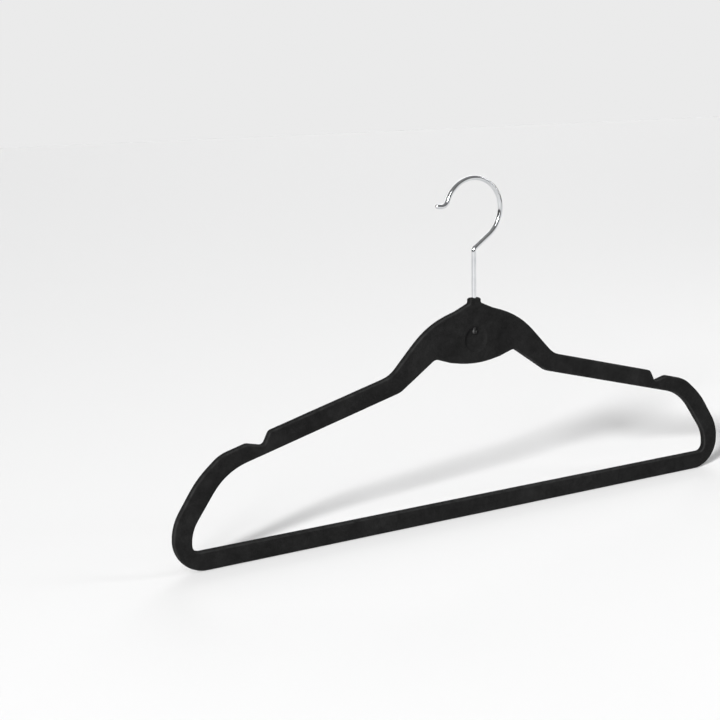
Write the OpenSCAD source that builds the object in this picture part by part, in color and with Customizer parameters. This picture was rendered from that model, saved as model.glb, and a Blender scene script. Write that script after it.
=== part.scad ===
// Slim flocked clothes hanger with a trouser bar and a swivel hook.
// Frame: origin under the middle of the trouser bar, half way through the thickness,
// +X along the hanger, +Y towards its back, +Z up. Millimetres.

/* [Hanger frame] */
// Overall width, end to end
overall_w = 450; // [420:1:470]
// Overall thickness over the flock
frame_t = 5.2; // [5:0.1:7]
// Thickness of the flock coat on every face
flock_t = 0.3; // [0.2:0.05:0.4]
// Depth of each arm, measured square to its slope
arm_w = 13.2; // [11:0.1:15]
// Slope of the shoulders below level, in degrees
shoulder_slope = 15; // [14:0.5:16]
// Height of the trouser bar
bar_h = 13; // [10:0.5:14]
// Width of the upright walls that join the arms to the trouser bar
end_wall_w = 12.5; // [11:0.5:14]

/* [Crown and hub] */
// Distance from the middle to the foot of the crown on each shoulder
crown_foot_x = 66.6; // [63:0.2:70]
// Height of the foot of the crown
crown_foot_z = 108.7; // [107:0.1:111]
// Height of the crown beside the collar
crown_top_z = 152; // [150:0.1:152.5]
// Height of the collar's top face
collar_top_z = 155.6; // [155:0.1:158]
// Width of the collar
collar_w = 9; // [8:0.5:10]
// Lowest point of the round lobe under the hub
lobe_bottom_z = 109.6; // [108:0.1:111]
// Height of the hub dish's centre
dish_z = 126.8; // [126:0.1:127.5]
// Radius of the hub dish at the surface
dish_r = 9.3; // [8.5:0.1:10]
// Depth of the hub dish at its centre
dish_depth = 1.9; // [1.4:0.1:2]
// Depth of the upright rim around the dish
dish_rim = 1; // [0.2:0.1:1.2]

/* [Strap notches] */
// Distance from the end of the hanger to the notch's inner wall
notch_x = 68.5; // [66:0.5:70]
// Length of the notch's floor
notch_w = 11; // [9:0.5:12]
// Depth of the notch below the shoulder's line
notch_d = 7.6; // [6:0.1:7.8]

/* [Swivel hook] */
// Diameter of the hook's wire
wire_d = 3.2; // [3:0.05:3.3]
// Radial running clearance between the wire and its bore
swivel_gap = 0.05; // [0.02:0.01:0.1]
// Height of the bend where the shank turns out towards the hook's bow
kink_z = 189; // [186:0.5:192]
// Radius of that bend, on the wire's centre line
kink_r = 4; // [3:0.5:5]
// Height of the bow's centre
bow_z = 215.5; // [214:0.5:217]
// Radius of the bow, on the wire's centre line
bow_r = 21.5; // [20:0.5:22.5]
// Where the bow ends, in degrees past level on the closed side
bow_end = 160; // [150:1:170]
// Radius of the tip's outward curl, on the wire's centre line
curl_r = 5.5; // [4.5:0.5:7]
// Angle that the tip curls through
curl_turn = 75; // [60:1:90]
// Straight length at the tip
tip_l = 2.6; // [1:0.1:4]

/* [Hook retention] */
// Width of the pocket where the hook's headed end turns
pocket_w = 5.2; // [5.1:0.1:7]
// Height of the pocket
pocket_h = 2.8; // [2.8:0.1:5]
// Height of the pocket's ceiling
pocket_top_z = 133; // [132:0.5:134]
// Diameter of the headed end
head_d = 4.4; // [4:0.1:4.6]
// Length of the headed end
head_l = 1.6; // [1:0.1:2]
// Outer diameter of the thrust washer above the head
washer_d = 4.8; // [4.4:0.1:5]
// Thickness of the thrust washer
washer_t = 0.6; // [0.4:0.1:0.8]
// Up-and-down play of the hook in the frame
end_play = 0.2; // [0.1:0.05:0.4]

/* [Hidden] */
half_w = overall_w / 2;
// Angle between neighbouring points on a rounded corner
arc_step = 7.5;
// Fineness of round solids
round_fn = 96;
// Extra length so that cuts pass clear through
cut = 1;
wire_r = wire_d / 2;
bore_r = wire_r + swivel_gap;
washer_top_z = pocket_top_z - end_play;
head_top_z = washer_top_z - washer_t;

// --- Outline helpers -------------------------------------------------------------

function unit(v) = v / norm(v);

// Outward normal of the edge from a to b on an outline that runs anticlockwise
function outward(a, b) = let (d = unit(b - a)) [d[1], -d[0]];

// Left turn at corner b is positive, right turn negative
function turn_sign(a, b, c) = sign(cross(b - a, c - b));

// A corner [x, z, radius] moved outwards with its two edges, so that the rounded
// outline grows by the same distance everywhere
function grown_corner(a, b, c, grow) =
    let (n1 = outward(a, b), n2 = outward(b, c))
    let (p = b + grow * (n1 + n2) / (1 + n1 * n2))
    p;

// Points of the arc of radius r that rounds corner b between a and c
function corner_arc(a, b, c, r) =
    let (u = unit(a - b), v = unit(c - b))
    let (half = acos(u * v) / 2)
    let (centre = b + unit(u + v) * r / sin(half))
    let (first = b + u * r / tan(half) - centre)
    let (start = atan2(first[1], first[0]))
    let (sweep = turn_sign(a, b, c) * (180 - 2 * half))
    let (steps = max(2, ceil(abs(sweep) / arc_step)))
    [for (i = [0:steps]) centre + r * [cos(start + sweep * i / steps), sin(start + sweep * i / steps)]];

// Outline through the corners [x, z, radius], each rounded by its own radius and the
// whole moved outwards by grow
function rounded_outline(corners, grow) =
    let (n = len(corners), flat = [for (c = corners) [c[0], c[1]]])
    let (moved = [for (i = [0:n - 1])
        grown_corner(flat[(i + n - 1) % n], flat[i], flat[(i + 1) % n], grow)])
    [for (i = [0:n - 1])
        let (a = moved[(i + n - 1) % n], b = moved[i], c = moved[(i + 1) % n])
        each corner_arc(a, b, c, corners[i][2] + grow * turn_sign(a, b, c))];

// The same corners on the other side of the hanger, in the opposite order
function mirrored(corners) =
    [for (i = [len(corners) - 1:-1:0]) [-corners[i][0], corners[i][1], corners[i][2]]];

// --- The hanger's outlines ---------------------------------------------------------

// Height of the shoulder's straight top line, and of the arm's underside, at x
function shoulder_z(x) = crown_foot_z - (x - crown_foot_x) * tan(shoulder_slope);
function underside_z(x) = shoulder_z(x) - arm_w / cos(shoulder_slope);

// Right half of the outer edge, from the bottom corner up and over to the collar
outer_half = [
    [half_w, 0, 21.5],
    [half_w, 31.9, 33],
    [half_w - 18, shoulder_z(half_w - 18) - 11.5, 60],
    [half_w - 34, shoulder_z(half_w - 34) - 1.8, 24],
    [half_w - notch_x + notch_w + 5, shoulder_z(half_w - notch_x + notch_w + 5) - 1.7, 6],
    [half_w - notch_x + 4.5, shoulder_z(half_w - notch_x + 4.5) - notch_d, 3],
    [half_w - notch_x, shoulder_z(half_w - notch_x), 3],
    [crown_foot_x, crown_foot_z, 20],
    [37, crown_top_z - 11.8, 60],
    [15, crown_top_z - 4.7, 30],
    [collar_w / 2, crown_top_z, 1.5],
    [collar_w / 2, collar_top_z, 1.6]
];

// Right half of the window, from its bottom corner up to the corner beside the lobe
window_half = [
    [half_w - end_wall_w, bar_h, 5],
    [half_w - end_wall_w, 27.2, 25],
    [half_w - end_wall_w - 24.8, underside_z(half_w - end_wall_w - 24.8), 40],
    [59.8, underside_z(59.8), 12],
    [31.9, lobe_bottom_z + 6.8, 5]
];
// The lobe under the hub is one wide arc between the window's two upper corners
lobe_corner = [0, lobe_bottom_z - 6.2, 77];

outer_corners = concat(outer_half, mirrored(outer_half));
window_corners = concat(window_half, [lobe_corner], mirrored(window_half));

// Pocket outline, centred on x = 0
pocket_corners = [
    [pocket_w / 2, pocket_top_z - pocket_h, 0.8],
    [pocket_w / 2, pocket_top_z, 0.3],
    [-pocket_w / 2, pocket_top_z, 0.3],
    [-pocket_w / 2, pocket_top_z - pocket_h, 0.8]
];

// --- Frame: moulded core and flock ---------------------------------------------------

// An outline in the hanger's plane, given thickness t through its middle
module upright(t) {
    rotate([90, 0, 0])
        linear_extrude(t, center = true)
            children();
}

// Round bowls with a short upright rim in both faces of the hub
module dishes(face_y, rim_r) {
    bowl_depth = dish_depth - dish_rim;
    ball_r = (rim_r * rim_r + bowl_depth * bowl_depth) / (2 * bowl_depth);
    for (side = [0, 180])
        translate([0, 0, dish_z])
            rotate([90, 0, side]) {
                translate([0, 0, face_y - dish_rim])
                    cylinder(r = rim_r, h = dish_rim + cut, $fn = round_fn);
                intersection() {
                    translate([0, 0, face_y - dish_depth + ball_r])
                        sphere(r = ball_r, $fn = round_fn);
                    cylinder(r = rim_r, h = face_y + cut, $fn = round_fn);
                }
            }
}

// The frame's solid at a distance inside the flock's surface
module frame_body(inset) {
    difference() {
        upright(frame_t - 2 * inset)
            difference() {
                polygon(rounded_outline(outer_corners, -inset));
                polygon(rounded_outline(window_corners, inset));
            }
        dishes(frame_t / 2 - inset, dish_r + inset);
    }
}

module hook_pocket() {
    upright(frame_t + 2 * cut)
        polygon(rounded_outline(pocket_corners, 0));
}

// Vertical hole of radius r from inside the pocket up through the collar
module hook_bore(r) {
    translate([0, 0, pocket_top_z - cut])
        cylinder(r = r, h = collar_top_z - pocket_top_z + 2 * cut, $fn = round_fn);
}

module moulded_frame() {
    color("#1c1c1f")
        difference() {
            frame_body(flock_t);
            hook_pocket();
            hook_bore(bore_r);
        }
}

module flock_coat() {
    color("#232326")
        difference() {
            frame_body(0);
            frame_body(flock_t);
            hook_pocket();
            hook_bore(bore_r + 0.3);
        }
}

// --- Swivel hook -----------------------------------------------------------------------

// The wire is this much thicker in radius where it is bent
bend_swell = 0.01;
// Length by which each straight runs on into the bends beside it
lap = 0.15;
// Angle by which the curl runs on into the bow
curl_lap = lap / curl_r * 180 / PI;

// Slant of the wire between the bend and the bow, from upright, and its length
slant = asin(bow_r / (bow_z - kink_z));
slant_l = sqrt(pow(bow_z - kink_z, 2) - bow_r * bow_r);
// Length that the bend takes from each straight beside it
kink_reach = kink_r * tan(slant / 2);
// Centre of the tip's curl, and the end of the curl
curl_c = [(bow_r + curl_r) * cos(bow_end), bow_z + (bow_r + curl_r) * sin(bow_end)];
curl_end = bow_end + 180 - curl_turn;

// Straight wire of length l from p, leaning lean degrees from upright towards +X. It
// runs on a little at both ends, inside the slightly thicker bends beside it.
module straight_wire(p, lean, l) {
    translate([p[0], 0, p[1]])
        rotate([0, lean, 0])
            translate([0, 0, -lap])
                cylinder(r = wire_r, h = l + 2 * lap, $fn = round_fn);
}

// Wire bent around centre c in the hanger's plane, from angle a through sweep, with its
// radius swollen by the bending
module bent_wire(c, r, a, sweep, swell) {
    translate([c[0], 0, c[1]])
        rotate([90, 0, 0])
            rotate([0, 0, a])
                rotate_extrude(angle = sweep, $fn = round_fn)
                    translate([r, 0])
                        circle(r = wire_r + swell, $fn = 48);
}

module swivel_hook() {
    color("#c8cacd")
        union() {
            translate([0, 0, head_top_z - head_l])
                cylinder(d = head_d, h = head_l, $fn = round_fn);
            straight_wire([0, head_top_z], 0, kink_z - kink_reach - head_top_z);
            bent_wire([kink_r, kink_z - kink_reach], kink_r, 180, -slant, bend_swell);
            straight_wire([kink_reach * sin(slant), kink_z + kink_reach * cos(slant)], slant,
                slant_l - kink_reach);
            bent_wire([0, bow_z], bow_r, -slant, bow_end + slant, bend_swell);
            bent_wire(curl_c, curl_r, curl_end, curl_turn + curl_lap, bend_swell / 2);
            translate([curl_c[0], 0, curl_c[1]])
                rotate([0, -curl_end, 0])
                    translate([curl_r, 0, 0]) {
                        rotate([180, 0, 0])
                            cylinder(r = wire_r, h = tip_l, $fn = round_fn);
                        translate([0, 0, -tip_l])
                            sphere(r = wire_r, $fn = 48);
                    }
        }
}

module thrust_washer() {
    color("#9da0a4")
        translate([0, 0, head_top_z])
            difference() {
                cylinder(d = washer_d, h = washer_t, $fn = round_fn);
                translate([0, 0, -cut])
                    cylinder(r = bore_r, h = washer_t + 2 * cut, $fn = round_fn);
            }
}

moulded_frame();
flock_coat();
swivel_hook();
thrust_washer();
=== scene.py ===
"""Looks of the flocked clothes hanger: velvet frame, moulded core, chromed swivel hook."""

import math

import bmesh
import bpy
import numpy as np
from mathutils import Matrix, Vector, noise
from mathutils.geometry import delaunay_2d_cdt
from mathutils.kdtree import KDTree


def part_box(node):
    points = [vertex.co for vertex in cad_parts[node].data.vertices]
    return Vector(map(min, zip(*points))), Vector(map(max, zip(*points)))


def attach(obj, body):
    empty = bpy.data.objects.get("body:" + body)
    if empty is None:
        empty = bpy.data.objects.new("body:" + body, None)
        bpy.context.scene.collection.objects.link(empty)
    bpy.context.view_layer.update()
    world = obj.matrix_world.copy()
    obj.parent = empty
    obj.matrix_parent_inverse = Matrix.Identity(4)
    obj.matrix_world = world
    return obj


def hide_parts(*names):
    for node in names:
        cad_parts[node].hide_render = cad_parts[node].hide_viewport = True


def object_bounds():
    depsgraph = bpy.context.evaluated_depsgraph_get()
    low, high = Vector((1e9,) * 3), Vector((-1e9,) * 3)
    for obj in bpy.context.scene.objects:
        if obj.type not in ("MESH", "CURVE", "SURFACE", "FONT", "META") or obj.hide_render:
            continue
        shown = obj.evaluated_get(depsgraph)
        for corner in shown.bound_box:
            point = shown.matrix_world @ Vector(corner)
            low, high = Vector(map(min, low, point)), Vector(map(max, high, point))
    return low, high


MM = 0.001

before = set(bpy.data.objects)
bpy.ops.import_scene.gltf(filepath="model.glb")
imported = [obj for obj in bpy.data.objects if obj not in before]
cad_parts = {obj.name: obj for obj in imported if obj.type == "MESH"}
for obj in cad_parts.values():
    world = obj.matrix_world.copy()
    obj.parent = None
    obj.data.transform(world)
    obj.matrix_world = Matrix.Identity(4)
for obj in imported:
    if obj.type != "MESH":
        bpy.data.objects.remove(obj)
cad_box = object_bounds()

# --- Sizes -----------------------------------------------------------------------------
# Lengths are in metres and angles in radians. What the frame gives is measured from it,
# and the rest are the hanger's own small radii and gaps.

coat_low, coat_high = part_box("flock_coat")
core_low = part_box("moulded_frame")[0]
hook_low, hook_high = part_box("swivel_hook")
washer_low, washer_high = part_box("thrust_washer")

# Flock, the frame's rounded edges, and the ridge that the mould's halves leave around them
FLOCK_T = core_low.y - coat_low.y
EDGE_R = 1.25 * MM
CORE_RIDGE, PILE_RIDGE = 0.05 * MM, 0.07 * MM

# Dish in each face of the hub: the whole depth, the bowl's share of it, the wall's width
DISH_DEPTH = 1.9 * MM
DISH_BOWL = 0.5 * MM
DISH_WALL = 2.6 * MM

# Room for the hook: bore, flared mouth in the flock, and pocket for the washer and head
BORE_R, MOUTH_R = 1.65 * MM, 1.95 * MM
POCKET_TOP = washer_high.z + 0.2 * MM
POCKET_R = 0.8 * MM
POCKET_GAP, POCKET_DROP = 0.2 * MM, 0.4 * MM
PILE_GAP = 0.06 * MM

# Hook: wire, bend, bow, outward curl, straight tip, and headed lower end
WIRE_R = 1.6 * MM
KINK_Z, KINK_R = 189 * MM, 4 * MM
BOW_R = hook_high.x - WIRE_R
BOW_Z = hook_high.z - hook_high.x
BOW_END = math.radians(160)
CURL_R, CURL_TURN = 5.5 * MM, math.radians(75)
TIP_L = 2.6 * MM
HEAD_R, HEAD_EDGE = hook_high.y, 0.35 * MM
WIRE_UV = "along_wire"

# Washer: rolled outer edge on top, small bevel around its hole
WASHER_ROLL, WASHER_BEVEL = 0.18 * MM, 0.1 * MM

# Mesh: steps along the outlines, spacing inside the flat faces, rings and sides of a circle
PILE_STEP, PILE_SPACING = 0.95 * MM, 1.35 * MM
CORE_STEP, CORE_SPACING = 1.6 * MM, 3.2 * MM
RING_STEP, WALL_RING_STEP = 0.8 * MM, 0.4 * MM
ARC_EASE, EASE_ROUNDS = 0.4, 40
ROUND_SIDES = 48
THROUGH = 5 * MM

# Floor, lights and what lies behind the floor
FLOOR_HALF, FLOOR_GAP, FLOOR_TONE = 6.0, 0.2 * MM, 0.81
LIGHT_AIM = Vector((0, 0, 0.13))
KEY_PLACE, KEY_ENERGY, KEY_WIDTH = (-1.3, -0.8, 0.85), 4.6, math.radians(10)
BACK_PLACE, BACK_ENERGY, BACK_WIDTH = (0.9, 1.4, 0.7), 1.0, math.radians(40)
STRIPS = {"strip_left": ((-0.9, -0.9, 0.8), 5), "strip_right": ((1.1, -0.5, 0.7), 3)}
STRIP_W, STRIP_H = 0.12, 0.9
SKY_LOW, SKY_HIGH, SKY_HIGH_AT = 0.10, 0.40, 0.9
BACKDROP = 0.83


# --- Camera ------------------------------------------------------------------------------

LENS_MM, SENSOR_MM = 63.1, 36
CAMERA_AZIMUTH, CAMERA_ELEVATION = math.radians(27.74), math.radians(12.50)
CAMERA_ROLL = math.radians(-1.31)
CAMERA_DISTANCE = 0.828
CAMERA_TARGET = Vector((-0.0906, coat_low.y, 0.1234))


def make_camera():
    """A camera to the left of the hanger, a little above it, that looks at its front."""
    level = math.cos(CAMERA_ELEVATION)
    ahead = Vector((math.sin(CAMERA_AZIMUTH) * level,
                    math.cos(CAMERA_AZIMUTH) * level,
                    -math.sin(CAMERA_ELEVATION)))
    right = ahead.cross(Vector((0, 0, 1))).normalized()
    up = right.cross(ahead)
    roll = Matrix.Rotation(CAMERA_ROLL, 3, -ahead)
    data = bpy.data.cameras.new("camera")
    data.sensor_width = SENSOR_MM
    data.lens = LENS_MM
    data.clip_start = 0.01
    camera = bpy.data.objects.new("camera", data)
    bpy.context.scene.collection.objects.link(camera)
    basis = Matrix((roll @ right, roll @ up, -ahead)).transposed().to_4x4()
    camera.matrix_world = Matrix.Translation(CAMERA_TARGET - ahead * CAMERA_DISTANCE) @ basis
    bpy.context.scene.camera = camera


# --- Outlines read from the frame ----------------------------------------------------------


def border_edges(node):
    """Edges around the flat front face of a CAD node, between points rounded to a micron."""
    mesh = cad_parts[node].data
    front = min(v.co.y for v in mesh.vertices)
    key = {}
    for v in mesh.vertices:
        if abs(v.co.y - front) < 1e-6:
            key[v.index] = (round(v.co.x * 1e6), round(v.co.z * 1e6))
    uses = {}
    for face in mesh.polygons:
        if all(i in key for i in face.vertices):
            ring = [key[i] for i in face.vertices]
            for a, b in zip(ring, ring[1:] + ring[:1]):
                edge = (min(a, b), max(a, b))
                uses[edge] = uses.get(edge, 0) + 1
    return [(a, b) for (a, b), count in uses.items() if count == 1 and a != b]


def front_face_loops(node):
    """Closed outlines [(x, z), ...] around the flat front face of a CAD node, longest first."""
    near = {}
    for a, b in border_edges(node):
        near.setdefault(a, []).append(b)
        near.setdefault(b, []).append(a)
    loops = []
    while near:
        start = here = next(iter(near))
        last, loop = None, []
        while True:
            loop.append((here[0] * 1e-6, here[1] * 1e-6))
            steps = [p for p in near.pop(here) if p != last and (p in near or p == start)]
            if not steps or (steps[0] == start and len(loop) > 2):
                break
            last, here = here, steps[0]
        loops.append(np.array(loop))
    return sorted(loops, key=loop_length, reverse=True)


def loop_length(loop):
    return np.linalg.norm(np.roll(loop, -1, 0) - loop, axis=1).sum()


def signed_area(loop):
    x, z = loop.T
    return 0.5 * (x * np.roll(z, -1) - np.roll(x, -1) * z).sum()


def resampled(loop, step):
    """The same outline with even spacing, running anticlockwise. Its arcs are smooth: each
    point drifts towards its neighbours, further where the outline's own sides are long."""
    if signed_area(loop) < 0:
        loop = loop[::-1]
    closed = np.vstack([loop, loop[:1]])
    sides = np.linalg.norm(np.diff(closed, axis=0), axis=1)
    run = np.concatenate([[0], np.cumsum(sides)])
    at = np.linspace(0, run[-1], round(run[-1] / step), endpoint=False)
    points = np.stack([np.interp(at, run, closed[:, 0]), np.interp(at, run, closed[:, 1])], 1)
    shortest = np.minimum(sides, np.minimum(np.roll(sides, 1), np.roll(sides, -1)))
    reach = ARC_EASE * shortest[np.searchsorted(run, at, side="right") - 1]
    share = np.minimum(0.5, reach ** 2 / (EASE_ROUNDS * step ** 2))[:, None]
    for _ in range(EASE_ROUNDS):
        middles = (np.roll(points, 1, 0) + np.roll(points, -1, 0)) / 2
        points = points + share * (middles - points)
    return points


def left_normals(loop):
    """Unit vectors to the left of an outline's way round, at each of its points."""
    way = np.roll(loop, -1, 0) - np.roll(loop, 1, 0)
    way /= np.linalg.norm(way, axis=1)[:, None]
    return np.stack([-way[:, 1], way[:, 0]], 1)


def inside(points, loop):
    """Which points lie inside a closed outline."""
    hit = np.zeros(len(points), bool)
    for (x1, z1), (x2, z2) in zip(loop, np.roll(loop, -1, 0)):
        if z1 == z2:
            continue
        span = (points[:, 1] > z1) != (points[:, 1] > z2)
        hit ^= span & (points[:, 0] < (x2 - x1) * (points[:, 1] - z1) / (z2 - z1) + x1)
    return hit


# --- Velvet frame and its core ---------------------------------------------------------------


def dish_depth(r, rim_r):
    """Depth of the hub's dish at distance r from its centre: a wall that eases into a bowl."""
    bowl = DISH_BOWL * (1 - np.clip(r / rim_r, 0, 1) ** 2)
    t = np.clip((rim_r - r) / DISH_WALL, 0, 1)
    return bowl + (DISH_DEPTH - DISH_BOWL) * t * (2 - t)


def dish_points(centre, rim_r):
    """The dish's centre and rings around it, closer together on its wall."""
    radii = [rim_r + k * MM for k in (1.2, 0.5, 0.15)]
    radii += list(np.arange(rim_r, rim_r - DISH_WALL, -WALL_RING_STEP))
    radii += list(np.arange(rim_r - DISH_WALL, 0.6 * MM, -RING_STEP))
    points = [centre]
    for k, r in enumerate(radii):
        count = max(6, round(2 * math.pi * r / RING_STEP))
        turn = (np.arange(count) + 0.5 * (k % 2)) * 2 * math.pi / count
        points += list(centre + r * np.stack([np.cos(turn), np.sin(turn)], 1))
    return points


def cap_points(rims, dish_c, dish_r, spacing):
    """Points inside the flat face, away from its edges: rings in the dish, a grid elsewhere."""
    tree = KDTree(sum(len(r) for r in rims))
    for i, p in enumerate(np.vstack(rims)):
        tree.insert((p[0], p[1], 0), i)
    tree.balance()
    points = dish_points(dish_c, dish_r)
    low, high = rims[0].min(0), rims[0].max(0)
    row_h = spacing * math.sqrt(3) / 2
    for row, z in enumerate(np.arange(low[1], high[1], row_h)):
        x = np.arange(low[0] + spacing / 2 * (row % 2), high[0], spacing)
        line = np.stack([x, np.full(len(x), z)], 1)
        keep = inside(line, rims[0]) & ~inside(line, rims[1])
        keep &= np.linalg.norm(line - dish_c, axis=1) > dish_r + 2 * MM
        for p in line[keep]:
            if tree.find((p[0], p[1], 0))[2] > 0.75 * spacing:
                points.append(p)
    return np.array(points)


def cap_triangles(rims, within):
    """Triangles over the flat face between two outlines, by number in rims and within."""
    edges = []
    first = 0
    for rim in rims:
        n = len(rim)
        edges += [(first + i, first + (i + 1) % n) for i in range(n)]
        first += n
    points = [Vector(p) for p in np.vstack(rims + [within])]
    made = delaunay_2d_cdt(points, edges, [], 0, 1e-9)
    triangles = np.array([t for t in made[2] if len(t) == 3])
    centres = np.array([[p.x, p.y] for p in made[0]])[triangles].mean(1)
    keep = inside(centres, rims[0]) & ~inside(centres, rims[1])
    source = np.array([s[0] for s in made[3]])
    return source[triangles[keep]]


def edge_profile(edge_r, half_t, ridge):
    """Rows across the frame's edge, from one face to the other: (depth, y, paleness of the pile,
    partly from rubbing and partly a painted highlight on the rounding).
    """
    half = []
    for a in map(math.radians, range(0, 91, 18)):
        depth, y = edge_r * (1 - math.sin(a)), half_t - edge_r * (1 - math.cos(a))
        half.append((depth, y, math.sin(2 * a)))
    half += [(0, (half_t - edge_r) * k, 0) for k in (0.5, 0.2)]
    return half + [(-ridge, 0, 0)] + [(depth, -y, wear_and_highlight) for depth, y, wear_and_highlight in reversed(half)]


def add_edge(bm, loop, inward, inset, profile):
    """The frame's edge along one outline. Returns its first and last rows of points."""
    worn_and_highlit = bm.verts.layers.float["wear_and_highlight"]
    rows = []
    for depth, y, wear_and_highlight in profile:
        at = loop + inward * (inset + depth)
        rows.append([bm.verts.new((x, y, z)) for x, z in at])
        for v in rows[-1]:
            v[worn_and_highlit] = wear_and_highlight
    for a, b in zip(rows, rows[1:]):
        for i in range(len(loop)):
            j = (i + 1) % len(loop)
            bm.faces.new((a[i], a[j], b[j], b[i]))
    return rows[0], rows[-1]


def frame_surface(loops, inset, ridge, step, spacing):
    """The frame's closed surface at a distance inside the flock, with rounded edges."""
    half_t, edge_r = -coat_low.y - inset, EDGE_R - inset
    dish_c = loops[2].mean(0)
    dish_r = np.linalg.norm(loops[2] - dish_c, axis=1).mean() + inset
    profile = edge_profile(edge_r, half_t, ridge)
    bm = bmesh.new()
    # Paleness of the pile on the rounded edges: partly from rubbing, partly a painted highlight.
    bm.verts.layers.float.new("wear_and_highlight")
    ends, rims = [], []
    for loop, side in ((loops[0], 1), (loops[1], -1)):
        even = resampled(loop, step)
        inward = side * left_normals(even)
        ends.append(add_edge(bm, even, inward, inset, profile))
        rims.append(even + inward * (inset + edge_r))
    within = cap_points(rims, dish_c, dish_r, spacing)
    depths = dish_depth(np.linalg.norm(within - dish_c, axis=1), dish_r)
    triangles = cap_triangles(rims, within)
    for face, sign in ((0, 1), (1, -1)):
        verts = ends[0][face] + ends[1][face]
        for (x, z), depth in zip(within, depths):
            verts.append(bm.verts.new((x, sign * (half_t - depth), z)))
        for t in triangles:
            bm.faces.new([verts[i] for i in t])
    bmesh.ops.recalc_face_normals(bm, faces=bm.faces)
    return bm


def add_mesh(name, bm):
    mesh = bpy.data.meshes.new(name)
    bm.to_mesh(mesh)
    bm.free()
    obj = bpy.data.objects.new(name, mesh)
    bpy.context.scene.collection.objects.link(obj)
    return obj


def box_cutter(name, half_w, low_z, high_z, corner_r):
    """A prism right through the hub with rounded lower corners."""
    outline = [(half_w, high_z), (-half_w, high_z)]
    for side, start in ((-1, 180), (1, 270)):
        x, z = side * (half_w - corner_r), low_z + corner_r
        for a in map(math.radians, range(start, start + 91, 15)):
            outline.append((x + corner_r * math.cos(a), z + corner_r * math.sin(a)))
    bm = bmesh.new()
    front, back = [[bm.verts.new((x, y, z)) for x, z in outline] for y in (-THROUGH, THROUGH)]
    bm.faces.new(front)
    bm.faces.new(back)
    for i in range(len(outline)):
        j = (i + 1) % len(outline)
        bm.faces.new((front[i], front[j], back[j], back[i]))
    bmesh.ops.recalc_face_normals(bm, faces=bm.faces)
    return add_mesh(name, bm)


def bore_cutter(radius):
    """An upright cylinder from inside the pocket to above the collar."""
    bm = bmesh.new()
    low, high = POCKET_TOP - 1 * MM, coat_high.z + 2 * MM
    middle = Matrix.Translation((0, 0, (low + high) / 2))
    bmesh.ops.create_cone(bm, cap_ends=True, segments=ROUND_SIDES, radius1=radius,
                          radius2=radius, depth=high - low, matrix=middle)
    return add_mesh("bore", bm)


def moulding_cutters():
    """The moulding's room for the hook: a bore, and a pocket that the washer slides into."""
    half_w, low_z = washer_high.x + POCKET_GAP, hook_low.z - POCKET_DROP
    return [box_cutter("pocket", half_w, low_z, POCKET_TOP, POCKET_R), bore_cutter(BORE_R)]


def pile_cutters():
    """The flock's room for the hook: its pile closes up around the washer and the head."""
    gap = PILE_GAP
    ring = box_cutter("ring", washer_high.x + gap, washer_low.z - gap, washer_high.z + gap, gap)
    head = box_cutter("head", HEAD_R + gap, hook_low.z - gap, washer_low.z, HEAD_EDGE + gap)
    return [ring, head, bore_cutter(MOUTH_R)]


def cut(obj, cutters):
    """Takes the cutters out of the object and deletes them."""
    for cutter in cutters:
        modifier = obj.modifiers.new("cut", "BOOLEAN")
        modifier.operation = "DIFFERENCE"
        modifier.solver = "EXACT"
        modifier.object = cutter
    bpy.context.view_layer.update()
    shown = obj.evaluated_get(bpy.context.evaluated_depsgraph_get())
    done = bpy.data.meshes.new_from_object(shown)
    obj.modifiers.clear()
    obj.data = done
    for cutter in cutters:
        bpy.data.objects.remove(cutter)


def shade_smooth(obj, angle=35):
    """Smooth shading, apart from edges sharper than the angle in degrees."""
    for p in obj.data.polygons:
        p.use_smooth = True
    bm = bmesh.new()
    bm.from_mesh(obj.data)
    for e in bm.edges:
        e.smooth = len(e.link_faces) == 2 and e.calc_face_angle(0) < math.radians(angle)
    bm.to_mesh(obj.data)
    bm.free()


def core_surface(loops):
    return frame_surface(loops, FLOCK_T, CORE_RIDGE, CORE_STEP, CORE_SPACING)


def make_core(loops):
    """The moulding under the flock."""
    core = add_mesh("moulded_core", core_surface(loops))
    cut(core, moulding_cutters())
    shade_smooth(core)
    return core


def ruffle(bm):
    """Slight unevenness of the pile, so that no edge is ruler straight."""
    bm.normal_update()
    shift = []
    for v in bm.verts:
        slow = noise.noise(v.co * 90)
        fine = noise.noise(v.co * 700 + Vector((3, 1, 7)))
        shift.append(v.normal * (0.03 * slow + 0.035 * fine - 0.03) * MM)
    for v, s in zip(bm.verts, shift):
        v.co += s


def make_velvet(loops):
    """The flock coat: a ruffled outer surface, and a lining that lies on the moulding."""
    bm = frame_surface(loops, 0, PILE_RIDGE, PILE_STEP, PILE_SPACING)
    ruffle(bm)
    inner = core_surface(loops)
    bmesh.ops.reverse_faces(inner, faces=inner.faces)
    lining = bpy.data.meshes.new("lining")
    inner.to_mesh(lining)
    inner.free()
    bm.from_mesh(lining)
    velvet = add_mesh("velvet_flock", bm)
    cut(velvet, pile_cutters())
    shade_smooth(velvet)
    return velvet


# --- Chromed hook and washer -------------------------------------------------------------------


def arc(cx, cz, r, start, end, count):
    """Points along an arc in the plane y = 0, its two ends included."""
    return [(cx + r * math.cos(a), cz + r * math.sin(a)) for a in np.linspace(start, end, count)]


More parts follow.
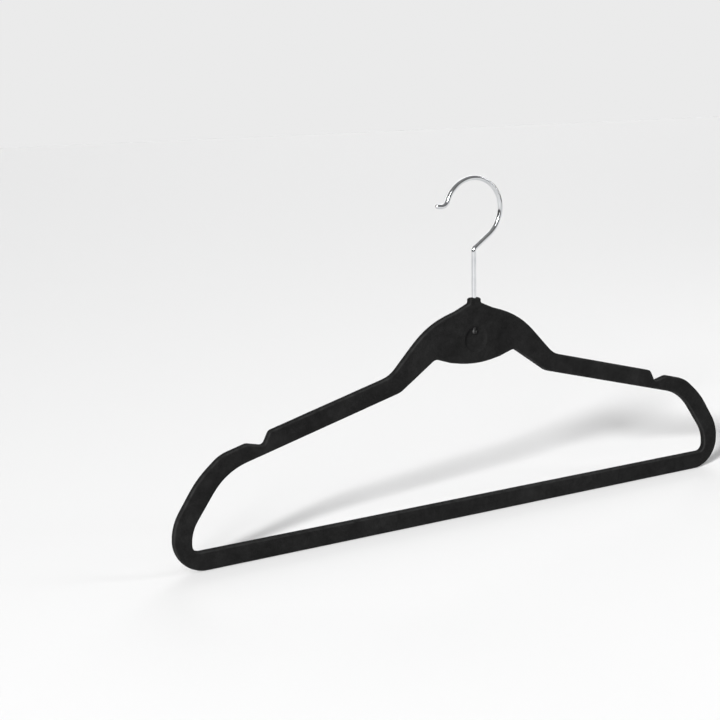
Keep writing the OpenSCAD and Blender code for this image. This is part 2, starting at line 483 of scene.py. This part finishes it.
def hook_path():
    """Points along the wire's centre line above the head, and the direction at its tip."""
    slant = math.asin(BOW_R / (BOW_Z - KINK_Z))
    reach = KINK_R * math.tan(slant / 2)
    slant_l = math.sqrt((BOW_Z - KINK_Z) ** 2 - BOW_R ** 2)
    points = [(0, z) for z in np.arange(washer_low.z, KINK_Z - reach, 0.8 * MM)]
    points += arc(KINK_R, KINK_Z - reach, KINK_R, math.pi, math.pi - slant, 14)
    way = np.array((math.sin(slant), math.cos(slant)))
    knee = np.array((0, KINK_Z))
    points += [tuple(knee + way * s) for s in np.linspace(reach, slant_l, 16)[1:-1]]
    points += arc(0, BOW_Z, BOW_R, -slant, BOW_END, 120)
    curl_x = (BOW_R + CURL_R) * math.cos(BOW_END)
    curl_z = BOW_Z + (BOW_R + CURL_R) * math.sin(BOW_END)
    curl_end = BOW_END + math.pi - CURL_TURN
    points += arc(curl_x, curl_z, CURL_R, BOW_END + math.pi, curl_end, 18)[1:]
    tip = np.array(points[-1])
    onward = np.array((math.sin(curl_end), -math.cos(curl_end)))
    points += [tuple(tip + onward * s) for s in np.linspace(0, TIP_L, 5)[1:]]
    return np.array(points), onward


def add_ring(bm, centre, r, direction, sides):
    """One ring of a tube, square to its direction in the plane y = 0."""
    x, z = centre
    dx, dz = direction
    ring = []
    for k in range(sides):
        a = 2 * math.pi * k / sides
        along, across = r * math.cos(a), r * math.sin(a)
        ring.append(bm.verts.new((x - dz * along, across, z + dx * along)))
    return ring


def tube(bm, rows, sides):
    """A closed tube through rows of (centre, radius, direction), mapped along its length."""
    rings = [add_ring(bm, *row, sides) for row in rows]
    uv = bm.loops.layers.uv.new(WIRE_UV)
    run = 0
    for i, (a, b) in enumerate(zip(rings, rings[1:])):
        far = run + math.dist(rows[i][0], rows[i + 1][0]) + abs(rows[i][1] - rows[i + 1][1])
        for k in range(sides):
            j = (k + 1) % sides
            face = bm.faces.new((a[k], a[j], b[j], b[k]))
            around = [k / sides, (k + 1) / sides, (k + 1) / sides, k / sides]
            for corner, u, v in zip(face.loops, around, (run, run, far, far)):
                corner[uv].uv = (u, v)
        run = far
    bm.faces.new(rings[0])
    bm.faces.new(rings[-1])


def head_rows():
    """The headed end's rows, from its underside to its top, with rounded rims."""
    turns = [math.radians(a) for a in range(0, 91, 15)]
    rim = [(HEAD_EDGE * (1 - math.cos(a)), HEAD_R - HEAD_EDGE * (1 - math.sin(a))) for a in turns]
    rows = [((0, hook_low.z + h), r, (0, 1)) for h, r in rim]
    return rows + [((0, washer_low.z - h), r, (0, 1)) for h, r in reversed(rim)]


def make_hook():
    """Headed end, wire and rounded tip in one closed tube."""
    points, onward = hook_path()
    way = np.gradient(points, axis=0)
    way /= np.linalg.norm(way, axis=1)[:, None]
    rows = head_rows()
    rows += [(tuple(p), WIRE_R, tuple(w)) for p, w in zip(points[1:], way[1:])]
    for a in map(math.radians, np.linspace(10.5, 84, 8)):
        end = points[-1] + onward * WIRE_R * math.sin(a)
        rows.append((tuple(end), WIRE_R * math.cos(a), tuple(onward)))
    bm = bmesh.new()
    tube(bm, rows, ROUND_SIDES)
    bmesh.ops.recalc_face_normals(bm, faces=bm.faces)
    hook = add_mesh("chromed_hook", bm)
    shade_smooth(hook, 40)
    return hook


def washer_section():
    """Outline (r, z) of the stamped ring: flat underneath, rolled over at its top edge."""
    inner_r, outer_r = BORE_R, washer_high.x
    low, high = washer_low.z, washer_high.z
    section = [(inner_r, low), (outer_r, low), (outer_r, high - WASHER_ROLL)]
    for a in map(math.radians, (22.5, 45, 67.5, 90)):
        r = outer_r - WASHER_ROLL * (1 - math.cos(a))
        section.append((r, high - WASHER_ROLL * (1 - math.sin(a))))
    return section + [(inner_r + WASHER_BEVEL, high), (inner_r, high - WASHER_BEVEL)]


def make_washer():
    section = washer_section()
    bm = bmesh.new()
    rings = []
    for k in range(ROUND_SIDES):
        a = 2 * math.pi * k / ROUND_SIDES
        rings.append([bm.verts.new((r * math.cos(a), r * math.sin(a), z)) for r, z in section])
    for a, b in zip(rings, rings[1:] + rings[:1]):
        for i in range(len(section)):
            j = (i + 1) % len(section)
            bm.faces.new((a[i], b[i], b[j], a[j]))
    bmesh.ops.recalc_face_normals(bm, faces=bm.faces)
    washer = add_mesh("steel_washer", bm)
    shade_smooth(washer)
    return washer


# --- Materials ---------------------------------------------------------------------------------
# Noise scales are in waves per metre, and around the wire in waves per turn. Bump distances
# are heights of relief in metres.


class Nodes:
    """Short way to lay out a material's nodes."""

    def __init__(self, name):
        self.material = bpy.data.materials.new(name)
        self.material.use_nodes = True
        self.tree = self.material.node_tree
        self.surface = self.tree.nodes["Principled BSDF"]
        self.place = self.add("ShaderNodeTexCoord").outputs["Object"]

    def add(self, kind, **values):
        node = self.tree.nodes.new(kind)
        for name, value in values.items():
            if name in node.inputs:
                node.inputs[name].default_value = value
            else:
                setattr(node, name, value)
        return node

    def link(self, a, b):
        self.tree.links.new(a, b)

    def drive(self, name, value):
        """Links a value to a socket of the shader."""
        self.link(value, self.surface.inputs[name])

    def fix(self, name, value):
        """Sets a socket of the shader that is the same all over the surface."""
        self.surface.inputs[name].default_value = value

    def attribute(self, name):
        return self.add("ShaderNodeAttribute", attribute_name=name).outputs["Fac"]

    def noise(self, scale, detail=2.0, roughness=0.5, stretch=None, place=None):
        place = place or self.place
        if stretch:
            mapping = self.add("ShaderNodeMapping")
            mapping.inputs["Scale"].default_value = stretch
            self.link(place, mapping.inputs["Vector"])
            place = mapping.outputs["Vector"]
        node = self.add("ShaderNodeTexNoise", Scale=scale, Detail=detail, Roughness=roughness)
        self.link(place, node.inputs["Vector"])
        return node.outputs["Fac"]

    def ramp(self, value, low, high, low_result, high_result):
        node = self.add("ShaderNodeMapRange", data_type="FLOAT")
        node.inputs["From Min"].default_value = low
        node.inputs["From Max"].default_value = high
        node.inputs["To Min"].default_value = low_result
        node.inputs["To Max"].default_value = high_result
        self.link(value, node.inputs["Value"])
        return node.outputs["Result"]

    def maths(self, operation, a, b):
        node = self.add("ShaderNodeMath", operation=operation)
        for socket, value in zip(node.inputs, (a, b)):
            if isinstance(value, (int, float)):
                socket.default_value = value
            else:
                self.link(value, socket)
        return node.outputs[0]

    def multiply(self, a, b):
        return self.maths("MULTIPLY", a, b)

    def add_up(self, a, b):
        return self.maths("ADD", a, b)

    def mix(self, a, b, share):
        node = self.add("ShaderNodeMix", data_type="FLOAT")
        node.inputs["Factor"].default_value = share
        self.link(a, node.inputs[2])
        self.link(b, node.inputs[3])
        return node.outputs[0]

    def mix_colour(self, a, b, share):
        node = self.add("ShaderNodeMix", data_type="RGBA")
        self.link(share, node.inputs["Factor"])
        for socket, colour in ((node.inputs[6], a), (node.inputs[7], b)):
            if isinstance(colour, tuple):
                socket.default_value = (*colour, 1)
            else:
                self.link(colour, socket)
        return node.outputs[2]

    def colour_ramp(self, value, stops):
        node = self.add("ShaderNodeValToRGB")
        ramp = node.color_ramp
        while len(ramp.elements) < len(stops):
            ramp.elements.new(0.5)
        for element, (at, colour) in zip(ramp.elements, stops):
            element.position = at
            element.color = (*colour, 1)
        self.link(value, node.inputs["Fac"])
        return node.outputs["Color"]

    def bump(self, height, distance, strength=1.0, below=None):
        node = self.add("ShaderNodeBump", Strength=strength, Distance=distance)
        self.link(height, node.inputs["Height"])
        if below:
            self.link(below, node.inputs["Normal"])
        return node.outputs["Normal"]


def grey(v):
    return (v, v, v)


def velvet_material():
    """Short nylon pile: almost black, paler at a glance, and paler on its rounded edges, partly from
    rubbing and partly as a painted highlight.
    """
    n = Nodes("black_velvet")
    fibres = n.noise(4600, 2, 0.7)
    tufts = n.noise(1250, 3, 0.65)
    nap = n.noise(210, 3, 0.6)
    patches = n.noise(34, 2, 0.6)
    cloth = n.mix(n.mix(patches, nap, 0.5), tufts, 0.35)
    tone = n.add_up(n.multiply(cloth, 0.6), n.multiply(fibres, 0.8))
    stops = [(0.57, grey(0.0031)), (0.70, grey(0.0085)), (0.84, grey(0.0205))]
    pile = n.colour_ramp(tone, stops)
    # Paler pile on the rounded edges, partly from rubbing and partly a painted highlight where light
    # catches them.
    rubbed_and_highlit = n.multiply(n.attribute("wear_and_highlight"), n.ramp(nap, 0.35, 0.65, 0.25, 1.0))
    n.drive("Base Color", n.mix_colour(pile, grey(0.023), rubbed_and_highlit))
    n.drive("Roughness", n.ramp(tufts, 0.3, 0.7, 0.80, 0.98))
    n.fix("Specular IOR Level", 0.06)
    n.fix("Sheen Weight", 0.035)
    n.fix("Sheen Roughness", 0.35)
    n.fix("Sheen Tint", (0.94, 0.96, 1.0, 1))
    slow = n.bump(nap, 0.12 * MM, 0.3)
    coarse = n.bump(tufts, 0.06 * MM, 0.4, slow)
    n.drive("Normal", n.bump(fibres, 0.03 * MM, 0.5, coarse))
    return n.material


def plastic_material():
    """Fine matt grain of the uncoated moulding."""
    n = Nodes("black_moulding")
    cloud = n.noise(300, 3)
    grain = n.noise(2600, 3, 0.6)
    n.drive("Base Color", n.colour_ramp(cloud, [(0.3, grey(0.006)), (0.7, grey(0.012))]))
    n.drive("Roughness", n.ramp(grain, 0.3, 0.7, 0.42, 0.6))
    n.drive("Normal", n.bump(grain, 0.01 * MM, 0.4))
    return n.material


def chrome_material():
    """Bright plate with fine drawing lines along the wire, and a dull dark lower end: partly
    unplated headed steel, partly painted shade of the pocket.
    """
    n = Nodes("chrome_plate")
    along_wire = n.add("ShaderNodeUVMap", uv_map=WIRE_UV).outputs["UV"]
    lines = n.noise(1, 4, 0.6, stretch=(90, 260, 1), place=along_wire)
    cloud = n.noise(170, 3, 0.55)
    split = n.add("ShaderNodeSeparateXYZ")
    n.link(n.place, split.inputs[0])
    height = split.outputs["Z"]
    # Dull, dark lower end of the wire: partly its unplated headed end, partly painted shade of the
    # pocket around it.
    bare_and_shaded = n.ramp(height, POCKET_TOP + 5 * MM, POCKET_TOP + 2.5 * MM, 0, 1)
    plate = n.colour_ramp(cloud, [(0.3, (0.60, 0.61, 0.63)), (0.7, (0.70, 0.71, 0.72))])
    steel = n.colour_ramp(cloud, [(0.3, grey(0.030)), (0.7, grey(0.055))])
    n.drive("Base Color", n.mix_colour(plate, steel, bare_and_shaded))
    n.fix("Metallic", 1.0)
    polish = n.ramp(lines, 0.35, 0.75, 0.05, 0.15)
    rub = n.multiply(n.ramp(height, BOW_Z + 0.9 * BOW_R, BOW_Z + BOW_R, 0, 0.12), cloud)
    n.drive("Roughness", n.add_up(n.add_up(polish, rub), n.multiply(bare_and_shaded, 0.35)))
    n.drive("Normal", n.bump(lines, 0.006 * MM, 0.3))
    return n.material


def washer_material():
    """Dull zinc-plated steel with a fine spangle, painted dark: painted shade of the pocket it sits
    in.
    """
    n = Nodes("zinc_steel_in_painted_shade")
    spangle = n.noise(1800, 3, 0.6)
    # Painted shade: the washer's colour is drawn dark for the pocket it sits in.
    n.drive("Base Color", n.colour_ramp(spangle, [(0.3, grey(0.05)), (0.7, grey(0.09))]))
    n.fix("Metallic", 1.0)
    n.drive("Roughness", n.ramp(spangle, 0.3, 0.7, 0.28, 0.45))
    n.drive("Normal", n.bump(spangle, 0.01 * MM, 0.3))
    return n.material


def floor_material():
    n = Nodes("pale_floor")
    n.fix("Base Color", (*grey(FLOOR_TONE), 1))
    n.fix("Roughness", 0.9)
    return n.material


# --- Floor and light -----------------------------------------------------------------------------


def make_floor():
    bm = bmesh.new()
    bmesh.ops.create_grid(bm, x_segments=1, y_segments=1, size=FLOOR_HALF)
    floor = add_mesh("floor", bm)
    floor.location.z = cad_box[0].z - FLOOR_GAP
    floor.data.materials.append(floor_material())


def add_light(kind, name, place, energy, **shape):
    """A light that points at the middle of the hanger."""
    data = bpy.data.lights.new(name, kind)
    data.energy = energy
    for key, value in shape.items():
        setattr(data, key, value)
    light = bpy.data.objects.new(name, data)
    bpy.context.scene.collection.objects.link(light)
    light.location = place
    light.rotation_euler = (LIGHT_AIM - Vector(place)).to_track_quat("-Z", "Y").to_euler()


def make_lights():
    """A key from the upper left, a wide weak fill behind, and a strip on either side."""
    add_light("SUN", "key", KEY_PLACE, KEY_ENERGY, angle=KEY_WIDTH)
    add_light("SUN", "back_fill", BACK_PLACE, BACK_ENERGY, angle=BACK_WIDTH)
    for name, (place, energy) in STRIPS.items():
        add_light("AREA", name, place, energy, shape="RECTANGLE", size=STRIP_W, size_y=STRIP_H)


def make_world():
    """A plain backdrop as seen, and a sky paler overhead as the source of soft light."""
    world = bpy.data.worlds.new("studio")
    bpy.context.scene.world = world
    world.use_nodes = True
    nodes, links = world.node_tree.nodes, world.node_tree.links
    seen = nodes["Background"]
    seen.inputs["Color"].default_value = (*grey(BACKDROP), 1)
    sky = nodes.new("ShaderNodeBackground")
    way = nodes.new("ShaderNodeTexCoord")
    split = nodes.new("ShaderNodeSeparateXYZ")
    level = nodes.new("ShaderNodeMapRange")
    level.inputs["From Min"].default_value = 0
    level.inputs["From Max"].default_value = SKY_HIGH_AT
    level.inputs["To Min"].default_value = SKY_LOW
    level.inputs["To Max"].default_value = SKY_HIGH
    links.new(way.outputs["Generated"], split.inputs[0])
    links.new(split.outputs["Z"], level.inputs["Value"])
    links.new(level.outputs["Result"], sky.inputs["Strength"])
    path = nodes.new("ShaderNodeLightPath")
    pick = nodes.new("ShaderNodeMixShader")
    links.new(path.outputs["Is Camera Ray"], pick.inputs["Fac"])
    links.new(sky.outputs[0], pick.inputs[1])
    links.new(seen.outputs[0], pick.inputs[2])
    links.new(pick.outputs[0], nodes["World Output"].inputs["Surface"])
    bpy.context.scene.view_settings.view_transform = "Standard"


# --- Put together ----------------------------------------------------------------------------------


def finish_piece(obj, material, body, node):
    """Gives a piece its material and body, and stands it in for its CAD node."""
    obj.data.materials.clear()
    obj.data.materials.append(material)
    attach(obj, body)
    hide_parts(node)


make_camera()
outlines = front_face_loops("flock_coat")
finish_piece(make_core(outlines), plastic_material(), "hanger", "moulded_frame")
finish_piece(make_velvet(outlines), velvet_material(), "hanger", "flock_coat")
finish_piece(make_hook(), chrome_material(), "hook", "swivel_hook")
finish_piece(make_washer(), washer_material(), "hook", "thrust_washer")
make_floor()
make_lights()
make_world()
